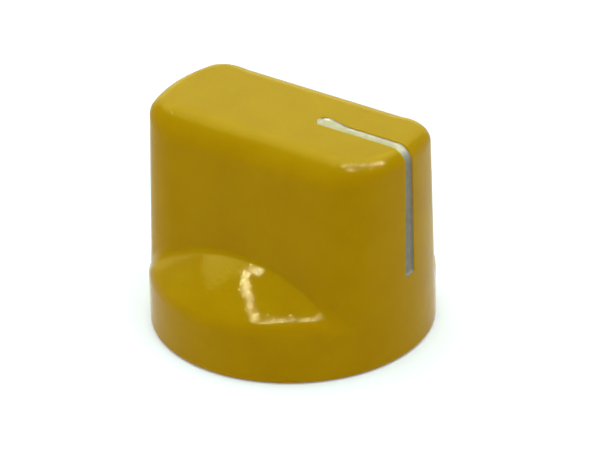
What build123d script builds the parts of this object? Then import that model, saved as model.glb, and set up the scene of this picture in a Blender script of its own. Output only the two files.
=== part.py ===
from build123d import *
import os
from math import radians, sqrt, tan

# A pointer control knob for a 6.35 mm (1/4 inch) potentiometer shaft.
# Frame: origin at the centre of the underside, +Z up the shaft axis, the pointer towards -Y.
# All dimensions are in millimetres, and angles in degrees.

# Outer form: a slightly tapered disc
height = 15.0
base_radius = 9.5
side_draft = 0.05
foot_edge_radius = 0.3
top_edge_radius = 1.5

# Grip: a bar across the full diameter, left standing between two scooped flanks
grip_half_width = 4.4  # at the top
grip_draft = 7.6  # of each wall
grip_foot = 2.0  # where the grip starts, inside the foot
grip_corner_radius = 3.3  # between a wall and a round end
shoulder_radius = 12.9  # the spherical shoulders at the foot of the walls
shoulder_crown = 8.0  # height where their sphere crosses the shaft axis
shoulder_rim_radius = 1.2  # where a shoulder turns down into the base band

# Indicator: a groove over the top and down the pointer end, with a white filling
groove_half_width = 0.38
groove_depth = 0.5
groove_start = 2.2  # distance of its inner end from the shaft axis
groove_eye_radius = 0.58  # its wider, rounded inner end
groove_eye_offset = 0.17  # the eye bulges to one side, +X
groove_eye_taper = 1.5  # length over which the eye narrows to the groove
groove_foot_half_width = 0.51
groove_foot_height = 5.8  # height of its flat lower end
groove_foot_corner_radius = 0.15
filling_recess = 0.1  # the filling lies this far below the surface

# Underside: a recess that clears the shaft's panel nut
recess_radius = 7.0
recess_depth = 2.5
recess_corner_radius = 0.4

# Brass insert, moulded in, with a waist that holds it in the plastic
insert_radius = 4.1
insert_foot = 1.5  # height of its open end
insert_top = 11.0
insert_cap = 1.0  # thickness of its closed end
insert_waist_depth = 0.25
insert_waist_height = 1.0
insert_waist_centre = 8.6
insert_chamfer = 0.2
shaft_bore_radius = 3.2
shaft_bore_lead_in = 0.3

# Set screw: M3 x 5 with a hexagon socket and a cup point, in the end opposite the pointer
screw_radius = 1.5
screw_length = 5.0
screw_height = 5.0
screw_rest_gap = 0.15  # between its point and the shaft bore
screw_point_chamfer = 0.45
screw_end_chamfer = 0.2
screw_cup_radius = 0.7
screw_cup_depth = 0.3
socket_across_flats = 1.5
socket_depth = 1.8
screw_hole_radius = 1.55

# Values that follow from the ones above
top_radius = base_radius - height * tan(radians(side_draft))
rim_height = shoulder_crown - shoulder_radius + sqrt(shoulder_radius**2 - base_radius**2)
screw_point = shaft_bore_radius + screw_rest_gap
outside = base_radius + 1.0  # where cutting tools end, clear of the knob
groove_bend = top_radius - top_edge_radius  # where the groove starts to turn down


def wall_half_width(z):
    """Half the grip's width at a height, between its two drafted walls."""
    return grip_half_width + (height - z) * tan(radians(grip_draft))


def end_radius(z):
    """Radius of the tapered outside at a height."""
    return base_radius - z * tan(radians(side_draft))


def depth_section(depth):
    """A prism of all that lies deeper than depth under the top and the pointer end, for the groove."""
    with BuildPart(mode=Mode.PRIVATE) as inner:
        with BuildSketch(Plane.YZ) as section:
            Polygon(
                (0, 0),
                (0, height - depth),
                (depth - end_radius(height), height - depth),
                (depth - end_radius(0), 0),
                align=None,
            )
            bend = section.vertices().group_by(Axis.Y)[-1].sort_by(Axis.X)[0]
            fillet(bend, top_edge_radius - depth)
        extrude(amount=outside, both=True)
    return inner.part


# The groove's outline: seen from above back to the bend, and seen from the front below it.
with BuildPart() as groove_outline:
    with BuildSketch(Plane.XY.offset(height / 2)):
        eye_centre = -groove_start - groove_eye_radius
        with Locations((groove_eye_offset, eye_centre)):
            Circle(groove_eye_radius)
        Polygon(
            (groove_eye_offset + groove_eye_radius, eye_centre),
            (groove_half_width, eye_centre - groove_eye_taper),
            (groove_half_width, -groove_bend),
            (-groove_half_width, -groove_bend),
            (-groove_half_width, eye_centre - groove_eye_taper),
            (groove_eye_offset - groove_eye_radius, eye_centre),
            align=None,
        )
    extrude(amount=height)
    with BuildSketch(Plane.XZ.offset(groove_bend)) as front_outline:
        Polygon(
            (groove_half_width, height * 2),
            (groove_half_width, height),
            (groove_foot_half_width, groove_foot_height),
            (-groove_foot_half_width, groove_foot_height),
            (-groove_half_width, height),
            (-groove_half_width, height * 2),
            align=None,
        )
        fillet(front_outline.vertices().group_by(Axis.Y)[0], groove_foot_corner_radius)
    extrude(amount=outside - groove_bend)

with BuildPart() as groove_cut:
    add(groove_outline.part)
    add(depth_section(groove_depth), mode=Mode.SUBTRACT)

# The insert's outside, which the knob is moulded around.
with BuildPart() as insert_blank:
    with BuildSketch(Plane.XZ) as insert_section:
        with Locations((0, insert_foot)):
            Rectangle(insert_radius, insert_top - insert_foot, align=(Align.MIN, Align.MIN))
        chamfer(insert_section.vertices().group_by(Axis.X)[-1], insert_chamfer)
        with Locations((insert_radius, insert_waist_centre)):
            Rectangle(insert_waist_depth * 2, insert_waist_height, mode=Mode.SUBTRACT)
    revolve(axis=Axis.Z)

# The radial hole for the set screw, from the shaft bore out through the end opposite the pointer.
with BuildPart() as screw_hole:
    with BuildSketch(Plane.XZ):
        with Locations((0, screw_height)):
            Circle(screw_hole_radius)
    extrude(amount=-outside)

with BuildPart() as nut_recess:
    Cylinder(recess_radius, recess_depth, align=(Align.CENTER, Align.CENTER, Align.MIN))
    fillet(nut_recess.faces().sort_by(Axis.Z)[-1].edges(), recess_corner_radius)

# Knob body: moulded plastic. The grip is a tapered disc cut back to its two walls.
# The foot and both shoulders are one turned shape, which joins it.
with BuildPart() as knob_body:
    with BuildSketch(Plane.XZ):
        Polygon(
            (0, grip_foot),
            (end_radius(grip_foot), grip_foot),
            (end_radius(height), height),
            (0, height),
            align=None,
        )
    revolve(axis=Axis.Z)
    with BuildSketch(Plane.XZ):
        Polygon(
            (wall_half_width(0), 0),
            (wall_half_width(outside * 2), outside * 2),
            (outside, outside * 2),
            (outside, 0),
            align=None,
        )
        mirror(about=Plane.YZ)
    extrude(amount=outside, both=True, mode=Mode.SUBTRACT)
    grip_corners = knob_body.edges().filter_by(lambda e: e.bounding_box().size.Z > height / 2)
    fillet(grip_corners, grip_corner_radius)
    fillet(knob_body.faces().sort_by(Axis.Z)[-1].edges(), top_edge_radius)
    with BuildSketch(Plane.XZ) as foot_section:
        with BuildLine():
            Polyline((0, shoulder_crown), (0, 0), (base_radius, 0), (end_radius(rim_height), rim_height))
            RadiusArc((end_radius(rim_height), rim_height), (0, shoulder_crown), -shoulder_radius)
        make_face()
        outer_corners = foot_section.vertices().sort_by(Axis.X)[-2:].sort_by(Axis.Y)
        fillet(outer_corners[0], foot_edge_radius)
        fillet(outer_corners[1], shoulder_rim_radius)
    revolve(axis=Axis.Z)
    add(groove_cut.part, mode=Mode.SUBTRACT)
    add(nut_recess.part, mode=Mode.SUBTRACT)
    add(insert_blank.part, mode=Mode.SUBTRACT)
    add(screw_hole.part, mode=Mode.SUBTRACT)

# Indicator line: the white filling, set in the groove a little below the surface
with BuildPart() as indicator_line:
    add(groove_outline.part)
    add(depth_section(filling_recess), mode=Mode.INTERSECT)
    add(depth_section(groove_depth), mode=Mode.SUBTRACT)

# Brass insert: a bush with a blind shaft bore, crossed by the set screw's hole
with BuildPart() as brass_insert:
    add(insert_blank.part)
    with BuildSketch(Plane.XY.offset(insert_foot)):
        Circle(shaft_bore_radius)
    extrude(amount=insert_top - insert_cap - insert_foot, mode=Mode.SUBTRACT)
    mouth = brass_insert.edges().filter_by(GeomType.CIRCLE).group_by(Axis.Z)[0].sort_by(SortBy.RADIUS)[0]
    chamfer(mouth, shaft_bore_lead_in)
    add(screw_hole.part, mode=Mode.SUBTRACT)

# Set screw: its threads are plain cylinders here
with BuildPart() as set_screw:
    with BuildSketch(Plane.XZ.offset(-screw_point)):
        with Locations((0, screw_height)):
            Circle(screw_radius)
    extrude(amount=-screw_length)
    chamfer(set_screw.edges().group_by(Axis.Y)[0], screw_point_chamfer)
    chamfer(set_screw.edges().group_by(Axis.Y)[-1], screw_end_chamfer)
    with BuildSketch(Plane.XZ.offset(-screw_point - screw_length)):
        with Locations((0, screw_height)):
            RegularPolygon(socket_across_flats / 2, 6, major_radius=False)
    extrude(amount=socket_depth, mode=Mode.SUBTRACT)
    with BuildSketch(Plane.YZ) as cup_section:
        Polygon(
            (screw_point, screw_height),
            (screw_point, screw_height + screw_cup_radius),
            (screw_point + screw_cup_depth, screw_height),
            align=None,
        )
    revolve(axis=Axis((0, 0, screw_height), (0, 1, 0)), mode=Mode.SUBTRACT)

knob_body.part.label = "knob_body"
indicator_line.part.label = "indicator_line"
brass_insert.part.label = "brass_insert"
set_screw.part.label = "set_screw"

os.makedirs("parts", exist_ok=True)
export_step(knob_body.part, "parts/knob_body.step")
export_step(indicator_line.part, "parts/indicator_line.step")
export_step(brass_insert.part, "parts/brass_insert.step")
export_step(set_screw.part, "parts/set_screw.step")
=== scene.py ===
"""A yellow pointer control knob: its plastic shell, white indicator filling, brass insert and set screw."""

from math import cos, pi, radians, sin, sqrt, tan

import bmesh
import bpy
import numpy as np
from mathutils import Matrix, Vector


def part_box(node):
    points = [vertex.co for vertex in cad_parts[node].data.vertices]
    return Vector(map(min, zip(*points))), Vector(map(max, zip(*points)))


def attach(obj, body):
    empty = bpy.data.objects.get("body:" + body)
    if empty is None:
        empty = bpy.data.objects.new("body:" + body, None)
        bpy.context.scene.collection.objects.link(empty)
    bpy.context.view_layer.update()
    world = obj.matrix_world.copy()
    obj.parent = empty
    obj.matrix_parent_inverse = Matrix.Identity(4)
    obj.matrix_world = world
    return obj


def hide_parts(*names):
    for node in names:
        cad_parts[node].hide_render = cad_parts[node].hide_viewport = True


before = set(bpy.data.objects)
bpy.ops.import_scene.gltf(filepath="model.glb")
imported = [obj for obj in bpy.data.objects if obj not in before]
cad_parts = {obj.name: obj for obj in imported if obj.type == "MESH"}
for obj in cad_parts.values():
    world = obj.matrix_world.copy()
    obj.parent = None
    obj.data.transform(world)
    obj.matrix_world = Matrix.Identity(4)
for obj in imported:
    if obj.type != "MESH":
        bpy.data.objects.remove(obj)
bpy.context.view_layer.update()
MM = 0.001

# The CAD nodes that the pieces are built around
knob_low, knob_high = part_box("knob_body")
insert_low, insert_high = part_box("brass_insert")
screw_low, screw_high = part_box("set_screw")

# Shell: a tapered disc cut back to a bar, with two spherical shoulders
HEIGHT = knob_high.z
BASE_RADIUS = knob_high.y
SIDE_DRAFT = radians(0.05)
GRIP_HALF_WIDTH = 4.78 * MM
GRIP_DRAFT = radians(5.42)
SHOULDER_RADIUS = 14.08 * MM
SHOULDER_CROWN = 8.02 * MM
SHOULDER_STEEPNESS = 1.058
TOP_EDGE = 1.14 * MM
TOP_EDGE_AT_WALLS = 1.88 * MM
FOOT_EDGE = 0.3 * MM
CORNER = 1.8 * MM
RIM = 0.4 * MM
CREASE_AT_POINTER = 0.1 * MM
CREASE_AT_REAR = 0.3 * MM
CORE = 4 * MM  # height inside the knob from which rays look for its surface
CREASE_BLEND_START = -8 * MM  # where the crease starts to widen, along Y
CREASE_BLEND_LENGTH = 14 * MM
SHOULDER_BLEND = 1.5 * MM
WALL_BLEND = 3 * MM

# Indicator groove, by its distance along the top from the shaft axis and then down the pointer end
GROOVE_START = 2.2 * MM
GROOVE_FOOT_HEIGHT = 5.8 * MM
GROOVE_HALF_WIDTH = 0.38 * MM
GROOVE_FOOT_HALF_WIDTH = 0.5 * MM
GROOVE_CORNER = 0.12 * MM
GROOVE_DEPTH = 0.42 * MM
GROOVE_DRAFT = radians(12)
GROOVE_FLOOR_CORNER = 0.08 * MM
GROOVE_LIP = 0.035 * MM
EYE_RADIUS = 0.58 * MM
EYE_OFFSET = 0.17 * MM
EYE_TAPER = 1.5 * MM
FILLING_EDGE_DEPTH = 0.03 * MM
FILLING_MIDDLE_DEPTH = 0.16 * MM
FILLING_EDGE_WIDTH = 0.42  # of its half width, over which it dips to its middle depth
FILLING_END_LENGTH = 0.25 * MM
FILLING_LAP = 0.02 * MM

# Underside
RECESS_RADIUS = 7 * MM
RECESS_DEPTH = 2.5 * MM
RECESS_CORNER = 0.4 * MM
RECESS_LIP = 0.15 * MM
SCREW_HOLE_RADIUS = 1.55 * MM
SCREW_HOLE_FLARE = 0.12 * MM

# Insert
INSERT_RADIUS = insert_high.x
INSERT_CAP = 1 * MM
INSERT_CHAMFER = 0.2 * MM
SHAFT_BORE_RADIUS = 3.2 * MM
SHAFT_BORE_LEAD_IN = 0.3 * MM
WAIST_DEPTH = 0.25 * MM
WAIST_HEIGHT = 1 * MM
WAIST_CENTRE = 8.6 * MM
KNURL_TEETH = 60
KNURL_DEPTH = 0.12 * MM
THREADED_HOLE_RADIUS = 1.52 * MM

# Set screw, M3
SCREW_RADIUS = screw_high.x
SCREW_HEIGHT = (screw_low.z + screw_high.z) / 2
THREAD_PITCH = 0.5 * MM
THREAD_DEPTH = 0.27 * MM
POINT_CHAMFER = 0.45 * MM
END_CHAMFER = 0.2 * MM
CUP_RADIUS = 0.7 * MM
CUP_DEPTH = 0.3 * MM
SOCKET_FLATS = 1.5 * MM
SOCKET_DEPTH = 1.8 * MM
SOCKET_CHAMFER = 0.08 * MM

# Spacing of the shell's grid: fine by the groove, medium at edges, coarse elsewhere
FINE, MEDIUM, COARSE = 0.045 * MM, 0.08 * MM, 0.16 * MM
COLUMN_NEAR = 0.042 * MM
COLUMN_STEP = 0.0175  # radians
GROOVE_SIDE = 1 * MM  # how far the fine columns go to each side

# Camera: its direction, roll, distance, lens in millimetres, and aim
CAMERA_AZIMUTH, CAMERA_ELEVATION, CAMERA_ROLL = -53.6, 28.43, -1.2
CAMERA_DISTANCE = 281.1 * MM
CAMERA_LENS = 256.3
CAMERA_AIM_HEIGHT = 7 * MM
CAMERA_AIM_RIGHT, CAMERA_AIM_DOWN = 0.573 * MM, 0.343 * MM

# Lights, in metres: a rectangular ring overhead, and a wall and a ceiling that only reflect
RING_HEIGHT, RING_WIDTH, RING_BRIGHTNESS = 0.5, 0.02, 330
RING_HALF_LENGTH, RING_HALF_DEPTH = 0.4, 0.165
RING_TO_RIGHT, RING_TO_CAMERA = 0.16, 0.09
RING_COLOUR = (1.0, 1.0, 0.85)
WALL_FOOT, WALL_SPLIT, WALL_TOP = 0.15, 0.85, 1.4
WALL_DISTANCE, CEILING_NEAR_EDGE = 1.26, 0.28
PANEL_WIDTH = 2.6
WALL_FOOT_BRIGHTNESS, WALL_TOP_BRIGHTNESS, CEILING_BRIGHTNESS = 2.4, 5.0, 13.0
WARM = (1, 1, 0.3)
OVERHEAD_SIZE, OVERHEAD_BRIGHTNESS = (0.9, 0.9), 4.0
OVERHEAD_COLOUR = (0.62, 1.0, 1.2)
SURROUND_COLOUR = (0.97, 0.9, 0.62, 1)
FLOOR_RADIUS = 3.0

# Values that follow from the ones above
TOP_RADIUS = BASE_RADIUS - HEIGHT * tan(SIDE_DRAFT)
TOP_RUN = TOP_RADIUS - TOP_EDGE
BEND_RUN = TOP_EDGE * pi / 2
SIDE_TOP = HEIGHT - TOP_EDGE
EYE_CENTRE = GROOVE_START + EYE_RADIUS
GROOVE_END = TOP_RUN + BEND_RUN + SIDE_TOP - GROOVE_FOOT_HEIGHT


# ---------------------------------------------------------------- the shell's surface as a field


def smooth_max(a, b, radius):
    """The larger of two distances, with a rounded corner where they cross."""
    rounded = np.hypot(np.maximum(a + radius, 0), np.maximum(b + radius, 0))
    return np.minimum(np.maximum(a, b), -radius) + rounded


def smooth_min(a, b, radius):
    return -smooth_max(-a, -b, radius)


def smooth_step(t):
    t = np.clip(t, 0, 1)
    return t * t * (3 - 2 * t)


def mix(a, b, t):
    return a + (b - a) * t


def plain_field(p):
    """Distance outside the knob's outer form, without its groove."""
    x, y, z = p[..., 0], p[..., 1], p[..., 2]
    rho = np.hypot(x, y)
    side = (rho - BASE_RADIUS + z * tan(SIDE_DRAFT)) * cos(SIDE_DRAFT)
    wall = (abs(x) - GRIP_HALF_WIDTH - (HEIGHT - z) * tan(GRIP_DRAFT)) * cos(GRIP_DRAFT)
    reach = np.hypot(SHOULDER_STEEPNESS * x, y)
    shoulder = np.hypot(reach, z - SHOULDER_CROWN + SHOULDER_RADIUS) - SHOULDER_RADIUS
    widening = smooth_step((y - CREASE_BLEND_START) / CREASE_BLEND_LENGTH)
    crease = mix(CREASE_AT_POINTER, CREASE_AT_REAR, widening)
    flank = smooth_min(wall, shoulder, crease)
    on_shoulder = smooth_step((wall - shoulder) / SHOULDER_BLEND + 0.5)
    outline = smooth_max(side, flank, mix(CORNER, RIM, on_shoulder))
    by_wall = smooth_step((wall - side) / WALL_BLEND + 0.5)
    top_edge = mix(TOP_EDGE, TOP_EDGE_AT_WALLS, by_wall)
    return smooth_max(smooth_max(outline, z - HEIGHT, top_edge), -z, FOOT_EDGE)


def run_along(p):
    """Distance along the pointer's line: over the top from the shaft axis, round the edge, down the end."""
    forward = -p[..., 1] - TOP_RUN
    above = p[..., 2] - SIDE_TOP
    bend = TOP_RUN + TOP_EDGE * np.arctan2(forward, np.maximum(above, 1e-9))
    down = TOP_RUN + BEND_RUN - above
    return np.where(forward < 0, -p[..., 1], np.where(above < 0, down, bend))


def groove_centre(run):
    return EYE_OFFSET * (1 - np.clip((run - EYE_CENTRE) / EYE_TAPER, 0, 1))


def groove_half_width(run):
    """Half the groove's width between its eye and its foot."""
    neck = mix(EYE_RADIUS, GROOVE_HALF_WIDTH, np.clip((run - EYE_CENTRE) / EYE_TAPER, 0, 1))
    down = np.clip((run - TOP_RUN - BEND_RUN) / (GROOVE_END - TOP_RUN - BEND_RUN), 0, 1)
    return neck + (GROOVE_FOOT_HALF_WIDTH - GROOVE_HALF_WIDTH) * down


def groove_outline(x, run):
    """Distance outside the groove's outline on the surface."""
    eye = np.hypot(x - EYE_OFFSET, run - EYE_CENTRE) - EYE_RADIUS
    sides = abs(x - groove_centre(run)) - groove_half_width(run)
    return np.where(run < EYE_CENTRE, eye, smooth_max(sides, run - GROOVE_END, GROOVE_CORNER))


def shell_field(p):
    """Distance outside the knob with its groove."""
    plain = plain_field(p)
    depth = np.maximum(-plain, 0)
    walls = groove_outline(p[..., 0], run_along(p)) + depth * tan(GROOVE_DRAFT)
    walls = np.where(p[..., 1] < 0, walls, 1 * MM)
    cut = smooth_max(walls, -(plain + GROOVE_DEPTH), GROOVE_FLOOR_CORNER)
    return smooth_max(plain, -cut, GROOVE_LIP)


def cast(directions, field, level=0.0):
    """Where rays from inside the knob reach the surface on which a field has this value."""
    start = np.array((0, 0, CORE))
    unit = directions / np.linalg.norm(directions, axis=-1, keepdims=True)
    near = np.zeros(unit.shape[:-1])
    far = np.full(unit.shape[:-1], BASE_RADIUS + HEIGHT)
    for _ in range(32):
        middle = (near + far) / 2
        inside = field(start + unit * middle[..., None]) < level
        near = np.where(inside, middle, near)
        far = np.where(inside, far, middle)
    return start + unit * near[..., None]


def gradient(p, field, step=0.004 * MM):
    """Unit normals of a field at points on its surface."""
    sides = [field(p + step * axis) - field(p - step * axis) for axis in np.eye(3)]
    normal = np.stack(sides, -1)
    return normal / np.maximum(np.linalg.norm(normal, axis=-1, keepdims=True), 1e-12)


# ---------------------------------------------------------------- mesh helpers


def spaced(*stretches):
    """Values through several (start, end, step) stretches that follow each other."""
    parts = [np.linspace(a, b, max(2, round((b - a) / step) + 1))[:-1] for a, b, step in stretches]
    return np.append(np.concatenate(parts), stretches[-1][1])


def grid_faces(rows, columns):
    """Quads between rows of vertices, each row joined into a ring."""
    faces = []
    for i in range(rows - 1):
        a, b = i * columns, (i + 1) * columns
        for j in range(columns):
            k = (j + 1) % columns
            faces.append((a + j, b + j, b + k, a + k))
    return faces


def capped_rings(rings):
    """A closed mesh from rings of points, with a fan to the centre of the first and the last."""
    rows, columns = rings.shape[:2]
    points = np.concatenate([rings.reshape(-1, 3), rings[:1].mean(1), rings[-1:].mean(1)])
    faces = grid_faces(rows, columns)
    first, last = rows * columns, rows * columns + 1
    for j in range(columns):
        k = (j + 1) % columns
        faces.append((first, j, k))
        faces.append((last, (rows - 1) * columns + k, (rows - 1) * columns + j))
    return points, faces


def make_piece(name, points, faces, body, material, replaced, sharp=35):
    """A mesh object on a CAD body, in place of a CAD node."""
    mesh = bpy.data.meshes.new(name)
    mesh.from_pydata([tuple(p) for p in points], [], faces)
    mesh.validate()
    piece = bpy.data.objects.new(name, mesh)
    bpy.context.scene.collection.objects.link(piece)
    piece.data.materials.append(material)
    smooth(piece, sharp)
    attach(piece, body)
    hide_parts(replaced)
    return piece


def smooth(piece, sharp):
    piece.data.shade_smooth()
    piece.data.set_sharp_from_angle(angle=radians(sharp))


def cut(piece, points, faces):
    """Subtracts a closed mesh from a piece."""
    mesh = bpy.data.meshes.new("cutter")
    mesh.from_pydata([tuple(p) for p in points], [], faces)
    tool = bpy.data.objects.new("cutter", mesh)
    bpy.context.scene.collection.objects.link(tool)
    boolean = piece.modifiers.new("cut", "BOOLEAN")
    boolean.object = tool
    boolean.solver = "EXACT"
    result = bpy.data.meshes.new_from_object(piece.evaluated_get(bpy.context.evaluated_depsgraph_get()))
    piece.modifiers.clear()
    old, piece.data = piece.data, result
    result.name = piece.name
    bpy.data.meshes.remove(old)
    bpy.data.objects.remove(tool)
    bpy.data.meshes.remove(mesh)


def radial_cutter(radius, start, end, flare=0.0, columns=64):
    """A closed cylinder along +Y at the set screw's height, widened at its outer end by a flare."""
    turn = np.linspace(0, 2 * pi, columns, endpoint=False)
    stations = [(radius, start), (radius, end - flare), (radius + 2 * flare, end + flare)]
    rings = [
        np.stack([r * np.cos(turn), np.full(columns, y), SCREW_HEIGHT + r * np.sin(turn)], -1)
        for r, y in stations
    ]
    return capped_rings(np.array(rings))


def outward(piece):
    """Turns every face to face outwards."""
    work = bmesh.new()
    work.from_mesh(piece.data)
    bmesh.ops.recalc_face_normals(work, faces=work.faces)
    work.to_mesh(piece.data)
    work.free()


# ---------------------------------------------------------------- the shell


def reference_profile(run):
    """Radius and height on the plain turned outline, by the distance along it from the top's centre."""
    side_length = SIDE_TOP / cos(SIDE_DRAFT)
    angle = np.clip((run - TOP_RUN) / TOP_EDGE, 0, pi / 2)
    down = np.clip(run - TOP_RUN - BEND_RUN, 0, side_length)
    radius = np.minimum(run, TOP_RUN) + TOP_EDGE * np.sin(angle) + down * sin(SIDE_DRAFT)
    return radius, SIDE_TOP + TOP_EDGE * np.cos(angle) - down * cos(SIDE_DRAFT)


def column_turns(radius, widen):
    """Angles from the pointer. Near it, the columns keep their distance from the groove's centre line."""
    beside = spaced((0, GROOVE_SIDE, COLUMN_NEAR))
    around = spaced((GROOVE_SIDE / BASE_RADIUS, pi, COLUMN_STEP))[1:]
    arm = max(radius, 2 * GROOVE_SIDE)
    close = np.arcsin(np.minimum(beside * widen / arm, 1))
    start = around[0] - COLUMN_STEP
    rest = mix(close[-1], pi, (around - start) / (pi - start))
    half = np.concatenate([close, rest])
    return np.concatenate([half, -half[-2:0:-1]])


def shell_rows():
    """Rows of the outer surface, from the top's centre to the foot, closer together where the groove ends."""
    eye_end = EYE_CENTRE + 0.8 * MM
    foot = TOP_RUN + BEND_RUN + SIDE_TOP
    bend_end = TOP_RUN + BEND_RUN
    return spaced(
        (0.05 * MM, GROOVE_START - 0.1 * MM, COARSE),
        (GROOVE_START - 0.1 * MM, eye_end, FINE),
        (eye_end, TOP_RUN - 0.1 * MM, COARSE),
        (TOP_RUN - 0.1 * MM, bend_end + 0.1 * MM, MEDIUM),
        (bend_end + 0.1 * MM, GROOVE_END - 0.3 * MM, 0.15 * MM),
        (GROOVE_END - 0.3 * MM, GROOVE_END + 0.12 * MM, FINE),
        (GROOVE_END + 0.12 * MM, foot - 0.4 * MM, 0.15 * MM),
        (foot - 0.4 * MM, foot, 0.06 * MM),
    )


def outer_rings():
    rings = []
    for run in shell_rows():
        radius, height = reference_profile(run)
        widen = groove_half_width(max(run, EYE_CENTRE + EYE_TAPER)) / GROOVE_HALF_WIDTH
        turn = column_turns(radius, widen)
        ray = np.stack([radius * np.sin(turn), -radius * np.cos(turn), 0 * turn + height - CORE], -1)
        rings.append(ray)
    return cast(np.array(rings), shell_field)


def arc(centre_r, centre_z, radius, start, end, steps=6):
    """Points of a rounded corner in a turned section, as (radius, height)."""
    angles = np.linspace(radians(start), radians(end), steps)
    return [(centre_r + radius * cos(a), centre_z + radius * sin(a)) for a in angles]


def underside_section():
    """The turned section under the knob: foot, recess and the pocket that holds the insert."""
    lip = RECESS_RADIUS + RECESS_LIP
    corner = RECESS_RADIUS - RECESS_CORNER
    points = [(mix(BASE_RADIUS - FOOT_EDGE, lip, t), 0) for t in (0.1, 0.4, 0.7)]
    points += arc(lip, RECESS_LIP, RECESS_LIP, 270, 180)
    points += arc(corner, RECESS_DEPTH - RECESS_CORNER, RECESS_CORNER, 0, 90)
    points += [(mix(corner, INSERT_RADIUS, t), RECESS_DEPTH) for t in (0.35, 0.7, 0.97, 1)]
    points += [(INSERT_RADIUS, mix(RECESS_DEPTH, insert_high.z, t)) for t in (0.03, 0.5, 1)]
    return points + [(INSERT_RADIUS / 2, insert_high.z)]


def make_shell(material):
    outer = outer_rings()
    turn = column_turns(BASE_RADIUS, 1)
    under = [
        np.stack([r * np.sin(turn), -r * np.cos(turn), 0 * turn + z], -1) for r, z in underside_section()
    ]
    points, faces = capped_rings(np.concatenate([outer, np.array(under)]))
    shell = make_piece("knob_shell", points, faces, "knob", material, "knob_body")
    outward(shell)
    cut(shell, *radial_cutter(SCREW_HOLE_RADIUS, INSERT_RADIUS / 2, BASE_RADIUS, SCREW_HOLE_FLARE))
    smooth(shell, 40)
    set_field_normals(shell)
    return shell


def set_field_normals(shell):
    """Gives the outer skin the exact normals of its surface, so that its reflections have no facets."""
    mesh = shell.data
    points = np.empty(len(mesh.vertices) * 3)
    mesh.vertices.foreach_get("co", points)
    points = points.reshape(-1, 3)
    exact = gradient(points, shell_field)
    on_skin = abs(shell_field(points)) < 0.002 * MM
    corner_vertex = np.empty(len(mesh.loops), int)
    mesh.loops.foreach_get("vertex_index", corner_vertex)
    face_normals = np.empty(len(mesh.polygons) * 3)
    mesh.polygons.foreach_get("normal", face_normals)
    totals = np.empty(len(mesh.polygons), int)
    mesh.polygons.foreach_get("loop_total", totals)
    own_face = np.repeat(face_normals.reshape(-1, 3), totals, axis=0)
    normals = exact[corner_vertex]
    agrees = (normals * own_face).sum(1) > 0.5
    normals[~(on_skin[corner_vertex] & agrees)] = 0
    mesh.normals_split_custom_set(normals.tolist())


# ---------------------------------------------------------------- the white filling


def ribbon_edges(run):
    """Centre and half width of the filling, rounded at its eye and at its foot's corners."""
    in_eye = np.clip(EYE_CENTRE - run, 0, EYE_RADIUS)
    past = np.clip(run - GROOVE_END + GROOVE_CORNER, 0, GROOVE_CORNER)
    eye = np.sqrt(EYE_RADIUS**2 - in_eye**2) - EYE_RADIUS
    foot = np.sqrt(GROOVE_CORNER**2 - past**2) - GROOVE_CORNER
    return groove_centre(run), groove_half_width(run) + eye + foot


def ribbon_points(run, across, depth):
    """Points of the filling at one place along the groove, at these depths under the plain surface."""
    centre, half = ribbon_edges(run)
    x = centre + across * (half + FILLING_LAP)
    radius, height = reference_profile(run)
    level = np.stack([x, 0 * x - sqrt(max(radius**2 - centre**2, 0)), 0 * x + height - CORE], -1)
    return cast_to_depth(level, depth)


def cast_to_depth(rays, depth):
    return cast(rays, lambda p: plain_field(p) + depth)


def make_filling(material):
    runs = spaced(
        (GROOVE_START + 0.003 * MM, EYE_CENTRE, 0.04 * MM),
        (EYE_CENTRE, EYE_CENTRE + EYE_TAPER, 0.1 * MM),
        (EYE_CENTRE + EYE_TAPER, TOP_RUN, 0.15 * MM),
        (TOP_RUN, TOP_RUN + BEND_RUN, 0.1 * MM),
        (TOP_RUN + BEND_RUN, GROOVE_END - GROOVE_CORNER, 0.15 * MM),
        (GROOVE_END - GROOVE_CORNER, GROOVE_END, 0.02 * MM),
    )
    across = np.sin(np.linspace(-pi / 2, pi / 2, 19))
    rings = []
    for run in runs:
        ends = min(run - runs[0], runs[-1] - run)
        sides = (1 - abs(across)) / FILLING_EDGE_WIDTH
        rise = (1 - np.clip(1 - sides, 0, 1) ** 2) * smooth_step(ends / FILLING_END_LENGTH)
        top = ribbon_points(run, across, mix(FILLING_EDGE_DEPTH, FILLING_MIDDLE_DEPTH, rise))
        bottom = ribbon_points(run, across[::-1] * 0.9, 0 * across + GROOVE_DEPTH)
        rings.append(np.concatenate([top, bottom]))
    points, faces = capped_rings(np.array(rings))
    filling = make_piece(
        "indicator_filling", points, faces, "knob", material, "indicator_line"
    )
    outward(filling)
    smooth(filling, 50)
    return filling


# ---------------------------------------------------------------- the brass insert


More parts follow.
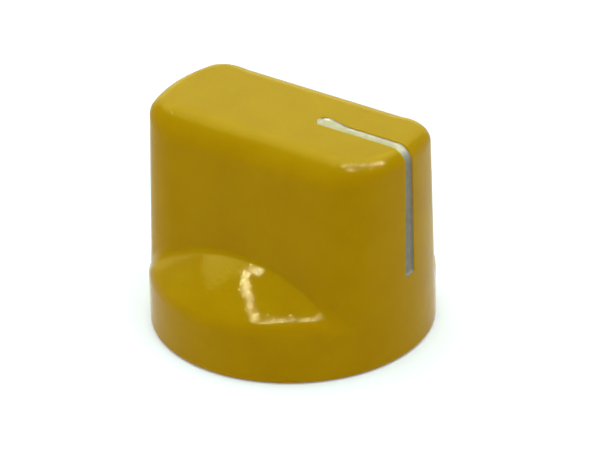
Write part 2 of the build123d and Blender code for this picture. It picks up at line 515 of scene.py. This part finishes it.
def insert_section():
    """The insert's turned section, as (radius, height, knurled), from the middle of its cap's top round."""
    top, foot = insert_high.z, insert_low.z
    waist_top, waist_foot = WAIST_CENTRE + WAIST_HEIGHT / 2, WAIST_CENTRE - WAIST_HEIGHT / 2
    waist = INSERT_RADIUS - WAIST_DEPTH
    bore_end = top - INSERT_CAP
    outside = [
        (INSERT_RADIUS / 2, top, 0),
        (INSERT_RADIUS - INSERT_CHAMFER, top, 0),
        (INSERT_RADIUS, top - INSERT_CHAMFER, 1),
        (INSERT_RADIUS, waist_top + INSERT_CHAMFER, 1),
        (waist, waist_top, 0),
        (waist, waist_foot, 0),
        (INSERT_RADIUS, waist_foot - INSERT_CHAMFER, 1),
        (INSERT_RADIUS, RECESS_DEPTH + 0.3 * MM, 1),
        (INSERT_RADIUS - KNURL_DEPTH, RECESS_DEPTH + 0.1 * MM, 0),
        (INSERT_RADIUS - KNURL_DEPTH, foot + INSERT_CHAMFER, 0),
        (INSERT_RADIUS - KNURL_DEPTH - INSERT_CHAMFER, foot, 0),
    ]
    inside = [
        (SHAFT_BORE_RADIUS + SHAFT_BORE_LEAD_IN, foot, 0),
        (SHAFT_BORE_RADIUS, foot + SHAFT_BORE_LEAD_IN, 0),
        (SHAFT_BORE_RADIUS, bore_end - 0.1 * MM, 0),
        (SHAFT_BORE_RADIUS - 0.1 * MM, bore_end, 0),
        (SHAFT_BORE_RADIUS / 2, bore_end, 0),
    ]
    return outside + inside


def make_insert(material):
    columns = KNURL_TEETH * 6
    turn = np.linspace(0, 2 * pi, columns, endpoint=False)
    valley = abs((turn * KNURL_TEETH / (2 * pi)) % 1 - 0.5) * 2
    rings = []
    for radius, height, knurled in insert_section():
        r = radius - knurled * KNURL_DEPTH * valley
        rings.append(np.stack([r * np.cos(turn), r * np.sin(turn), 0 * turn + height], -1))
    points, faces = capped_rings(np.array(rings))
    insert = make_piece("knurled_insert", points, faces, "knob", material, "brass_insert")
    outward(insert)
    cut(insert, *radial_cutter(THREADED_HOLE_RADIUS, SHAFT_BORE_RADIUS / 2, INSERT_RADIUS + 1 * MM))
    smooth(insert, 30)
    return insert


# ---------------------------------------------------------------- the set screw


def thread_radius(along, turn):
    """Radius of an M3 thread, between its crest and its root, that fades into both chamfers."""
    phase = (along / THREAD_PITCH - turn / (2 * pi)) % 1
    groove = THREAD_DEPTH * np.clip(abs(phase - 0.5) * 2.4 - 0.15, 0, 1)
    length = screw_high.y - screw_low.y
    point = SCREW_RADIUS - POINT_CHAMFER + along
    end = SCREW_RADIUS - END_CHAMFER + length - along
    return np.minimum(SCREW_RADIUS - groove, np.minimum(point, end))


def hexagon(turn, flats):
    """Radius of a hexagon at these angles."""
    return flats / 2 / np.cos((turn + pi / 6) % (pi / 3) - pi / 6)


def make_screw(material):
    turn = np.linspace(0, 2 * pi, 72, endpoint=False)
    length = screw_high.y - screw_low.y
    round_ = 0 * turn
    point_radius = SCREW_RADIUS - POINT_CHAMFER
    face_radius = SCREW_RADIUS - END_CHAMFER
    mouth = SOCKET_FLATS / 2 / cos(pi / 6) + 0.03 * MM
    stations = [(round_ + CUP_RADIUS * 0.2, CUP_DEPTH), (round_ + CUP_RADIUS, 0.03 * MM)]
    stations += [(round_ + CUP_RADIUS + 0.05 * MM, 0), (round_ + point_radius, 0)]
    along_thread = spaced((0.03 * MM, length - 0.03 * MM, THREAD_PITCH / 10))
    stations += [(thread_radius(along, turn), along) for along in along_thread]
    stations += [(round_ + face_radius, length), (round_ + mouth, length)]
    stations += [(hexagon(turn, SOCKET_FLATS), length - SOCKET_CHAMFER)]
    stations += [(hexagon(turn, SOCKET_FLATS), length - SOCKET_DEPTH + 0.25 * MM)]
    stations += [(round_ + SOCKET_FLATS * 0.1, length - SOCKET_DEPTH)]
    rings = []
    for radius, along in stations:
        y = 0 * turn + screw_low.y + along
        rings.append(np.stack([radius * np.sin(turn), y, SCREW_HEIGHT + radius * np.cos(turn)], -1))
    points, faces = capped_rings(np.array(rings))
    screw = make_piece("socket_set_screw", points, faces, "set_screw", material, "set_screw")
    outward(screw)
    smooth(screw, 30)
    return screw


# ---------------------------------------------------------------- materials


class Nodes:
    """A material's node tree, with short ways to add and join nodes."""

    def __init__(self, name):
        self.material = bpy.data.materials.new(name)
        self.material.use_nodes = True
        self.tree = self.material.node_tree
        self.shader = self.tree.nodes["Principled BSDF"]
        self.place = self.tree.nodes.new("ShaderNodeTexCoord").outputs["Object"]

    def add(self, kind, inputs=None, **settings):
        node = self.tree.nodes.new("ShaderNode" + kind)
        for name, value in settings.items():
            setattr(node, name, value)
        for name, value in (inputs or {}).items():
            self.put(node.inputs[name], value)
        return node

    def put(self, socket, value):
        if isinstance(value, bpy.types.NodeSocket):
            self.tree.links.new(value, socket)
        else:
            socket.default_value = value

    def set(self, **values):
        for name, value in values.items():
            self.put(self.shader.inputs[name.replace("_", " ")], value)

    def noise(self, size, detail=2.0, stretch=(1, 1, 1), roughness=0.5):
        """Noise with features of about this size."""
        scaled = self.add("Mapping", {"Vector": self.place, "Scale": stretch}).outputs["Vector"]
        inputs = {"Vector": scaled, "Scale": 1 / size, "Detail": detail, "Roughness": roughness}
        return self.add("TexNoise", inputs).outputs["Fac"]

    def spread(self, value, low, high, start=0.3, end=0.7):
        """A value from low to high as the input goes from start to end."""
        inputs = {"Value": value, "From Min": start, "From Max": end, "To Min": low, "To Max": high}
        return self.add("MapRange", inputs).outputs["Result"]

    def blend(self, factor, a, b):
        node = self.add("Mix", data_type="RGBA")
        self.put(node.inputs["Factor"], factor)
        self.put(node.inputs["A"], a)
        self.put(node.inputs["B"], b)
        return node.outputs["Result"]

    def bump(self, height, distance, strength=1.0, over=None):
        inputs = {"Height": height, "Distance": distance, "Strength": strength}
        if over is not None:
            inputs["Normal"] = over
        return self.add("Bump", inputs).outputs["Normal"]


def yellow_plastic():
    """Glossy moulded plastic: slight mottling, an orange-peel surface, a fine grain and faint marks."""
    n = Nodes("yellow_plastic")
    mottle = n.spread(n.noise(2.6 * MM, 3), 0, 1)
    tone = n.blend(mottle, (0.3, 0.165, 0.0003, 1), (0.32, 0.18, 0.0006, 1))
    marks = n.spread(n.noise(0.5 * MM, 4, stretch=(1, 0.16, 1), roughness=0.7), 0, 1, 0.62, 0.8)
    n.set(Base_Color=n.blend(marks, tone, (0.31, 0.175, 0.002, 1)))
    n.set(Roughness=n.spread(n.noise(0.9 * MM, 4), 0.03, 0.06))
    n.set(IOR=1.46, Specular_IOR_Level=0.05, Specular_Tint=(1, 0.9, 0.4, 1))
    n.set(Subsurface_Weight=0.5, Subsurface_Radius=(1, 0.55, 0.06), Subsurface_Scale=1.2 * MM)
    peel = n.bump(n.noise(1.4 * MM, 1), 0.012 * MM, 0.3)
    n.set(Normal=n.bump(n.noise(0.24 * MM, 1), 0.011 * MM, 1.0, over=peel))
    return n.material


def white_filling():
    """Matt filling paint, wiped into the groove: a little grey and yellow grime, a soft uneven surface."""
    n = Nodes("white_filling")
    grime = n.spread(n.noise(0.5 * MM, 4), 0, 1, 0.35, 0.75)
    n.set(Base_Color=n.blend(grime, (0.14, 0.127, 0.105, 1), (0.1, 0.09, 0.072, 1)))
    n.set(Roughness=n.spread(n.noise(0.3 * MM, 3), 0.45, 0.65), Specular_IOR_Level=0.4)
    n.set(Normal=n.bump(n.noise(0.35 * MM, 3), 0.03 * MM, 0.5))
    return n.material


def turned_brass():
    """Machined brass: fine turning lines, a warm tarnish and a little staining."""
    n = Nodes("turned_brass")
    tarnish = n.spread(n.noise(1.5 * MM, 4), 0, 1, 0.4, 0.75)
    n.set(Base_Color=n.blend(tarnish, (0.78, 0.57, 0.25, 1), (0.5, 0.33, 0.13, 1)))
    n.set(Metallic=1.0, Roughness=n.spread(n.noise(0.6 * MM, 4), 0.2, 0.38))
    lines = n.noise(0.12 * MM, 2, stretch=(0.05, 0.05, 1))
    n.set(Normal=n.bump(lines, 0.01 * MM, 0.5))
    return n.material


def blackened_steel():
    """Black-oxide steel, rubbed brighter here and there, with a trace of oil."""
    n = Nodes("blackened_steel")
    rubbed = n.spread(n.noise(0.5 * MM, 4), 0, 1, 0.5, 0.75)
    n.set(Base_Color=n.blend(rubbed, (0.045, 0.045, 0.05, 1), (0.28, 0.27, 0.26, 1)))
    n.set(Metallic=1.0, Roughness=n.spread(n.noise(0.25 * MM, 3), 0.28, 0.5))
    n.set(Normal=n.bump(n.noise(0.12 * MM, 3), 0.01 * MM, 0.5))
    return n.material


def pale_floor():
    """A light table: pale, and lit a little from below."""
    n = Nodes("pale_floor")
    fine = n.spread(n.noise(25 * MM, 3), 0, 1)
    n.set(Base_Color=n.blend(fine, (0.63, 0.63, 0.625, 1), (0.65, 0.65, 0.645, 1)), Roughness=0.9)
    n.set(Specular_IOR_Level=0.1, Emission_Color=(1, 1, 1.4, 1), Emission_Strength=0.15)
    return n.material


# ---------------------------------------------------------------- stage, lights and camera


def heading(azimuth, elevation):
    """Unit direction from the knob. Azimuth 0 is -Y and 90 is +X."""
    a, e = radians(azimuth), radians(elevation)
    return Vector((sin(a) * cos(e), -cos(a) * cos(e), sin(e)))


def add_floor(material):
    turn = np.linspace(0, 2 * pi, 96, endpoint=False)
    mesh = bpy.data.meshes.new("floor")
    rim = [(FLOOR_RADIUS * cos(a), FLOOR_RADIUS * sin(a), 0) for a in turn]
    mesh.from_pydata(rim, [], [tuple(range(len(rim)))])
    floor = bpy.data.objects.new("floor", mesh)
    bpy.context.scene.collection.objects.link(floor)
    floor.data.materials.append(material)


def add_panel(name, centre, across, facing, size, brightness, colour):
    """A rectangular soft light with its width along one direction, shining along another."""
    data = bpy.data.lights.new(name, "AREA")
    data.shape = "RECTANGLE"
    data.size, data.size_y = size
    data.energy = brightness * pi * size[0] * size[1]
    data.color = colour
    panel = bpy.data.objects.new(name, data)
    panel.matrix_world = Matrix.Translation(centre) @ Matrix(
        (across, across.cross(facing), -facing)
    ).transposed().to_4x4()
    bpy.context.scene.collection.objects.link(panel)
    return panel


def add_reflection(*panel):
    """A panel that only shows in glossy surfaces."""
    add_panel(*panel).visible_diffuse = False


def add_ring_light(across, away):
    """A rectangular frame of four thin lights overhead, lined up with the camera."""
    centre = Vector((0, 0, RING_HEIGHT)) + across * RING_TO_RIGHT - away * RING_TO_CAMERA
    down = Vector((0, 0, -1))
    long_side = (2 * RING_HALF_LENGTH + RING_WIDTH, RING_WIDTH)
    short_side = (2 * RING_HALF_DEPTH + RING_WIDTH, RING_WIDTH)
    for name, side in (("ring_left", -1), ("ring_right", 1)):
        place = centre + side * across * RING_HALF_LENGTH
        add_reflection(name, place, away, down, short_side, RING_BRIGHTNESS, RING_COLOUR)
    for name, side in (("ring_near", -1), ("ring_far", 1)):
        place = centre + side * away * RING_HALF_DEPTH
        add_reflection(name, place, across, down, long_side, RING_BRIGHTNESS, RING_COLOUR)


def add_camera():
    """A long lens from above and to one side of the pointer, level but for a slight roll."""
    roll, turn = radians(CAMERA_ROLL), radians(CAMERA_AZIMUTH)
    back = heading(CAMERA_AZIMUTH, CAMERA_ELEVATION)
    level = Vector((cos(turn), sin(turn), 0))
    up = back.cross(level)
    right = cos(roll) * level + sin(roll) * up
    top = cos(roll) * up - sin(roll) * level
    target = Vector((0, 0, CAMERA_AIM_HEIGHT)) + right * CAMERA_AIM_RIGHT - top * CAMERA_AIM_DOWN
    data = bpy.data.cameras.new("camera")
    data.sensor_width = 36
    data.lens = CAMERA_LENS
    data.clip_start, data.clip_end = 0.01, 10
    camera = bpy.data.objects.new("camera", data)
    camera.matrix_world = Matrix.Translation(target + back * CAMERA_DISTANCE) @ Matrix(
        (right, top, back)
    ).transposed().to_4x4()
    bpy.context.scene.collection.objects.link(camera)
    bpy.context.scene.camera = camera


def add_lights():
    """Overhead light, and the ring, back wall and ceiling that the plastic reflects."""
    across, away = heading(CAMERA_AZIMUTH + 90, 0), -heading(CAMERA_AZIMUTH, 0)
    up = Vector((0, 0, 1))
    add_ring_light(across, away)
    stretches = (
        ("wall_foot", WALL_FOOT, WALL_SPLIT, WALL_FOOT_BRIGHTNESS),
        ("wall_top", WALL_SPLIT, WALL_TOP, WALL_TOP_BRIGHTNESS),
    )
    for name, foot, top, brightness in stretches:
        place = away * WALL_DISTANCE + up * (foot + top) / 2
        add_reflection(name, place, across, -away, (PANEL_WIDTH, top - foot), brightness, WARM)
    middle = away * (WALL_DISTANCE + CEILING_NEAR_EDGE) / 2 + up * WALL_TOP
    ceiling_size = (PANEL_WIDTH, WALL_DISTANCE - CEILING_NEAR_EDGE)
    add_reflection("ceiling", middle, across, -up, ceiling_size, CEILING_BRIGHTNESS, WARM)
    overhead = add_panel("overhead", up, across, -up, OVERHEAD_SIZE, OVERHEAD_BRIGHTNESS, OVERHEAD_COLOUR)
    overhead.visible_glossy = False


def add_world():
    world = bpy.data.worlds.new("studio")
    world.use_nodes = True
    background = world.node_tree.nodes["Background"]
    background.inputs["Color"].default_value = SURROUND_COLOUR
    background.inputs["Strength"].default_value = 1.0
    bpy.context.scene.world = world
    bpy.context.scene.view_settings.view_transform = "Standard"


add_floor(pale_floor())
make_shell(yellow_plastic())
make_filling(white_filling())
make_insert(turned_brass())
make_screw(blackened_steel())
add_camera()
add_lights()
add_world()
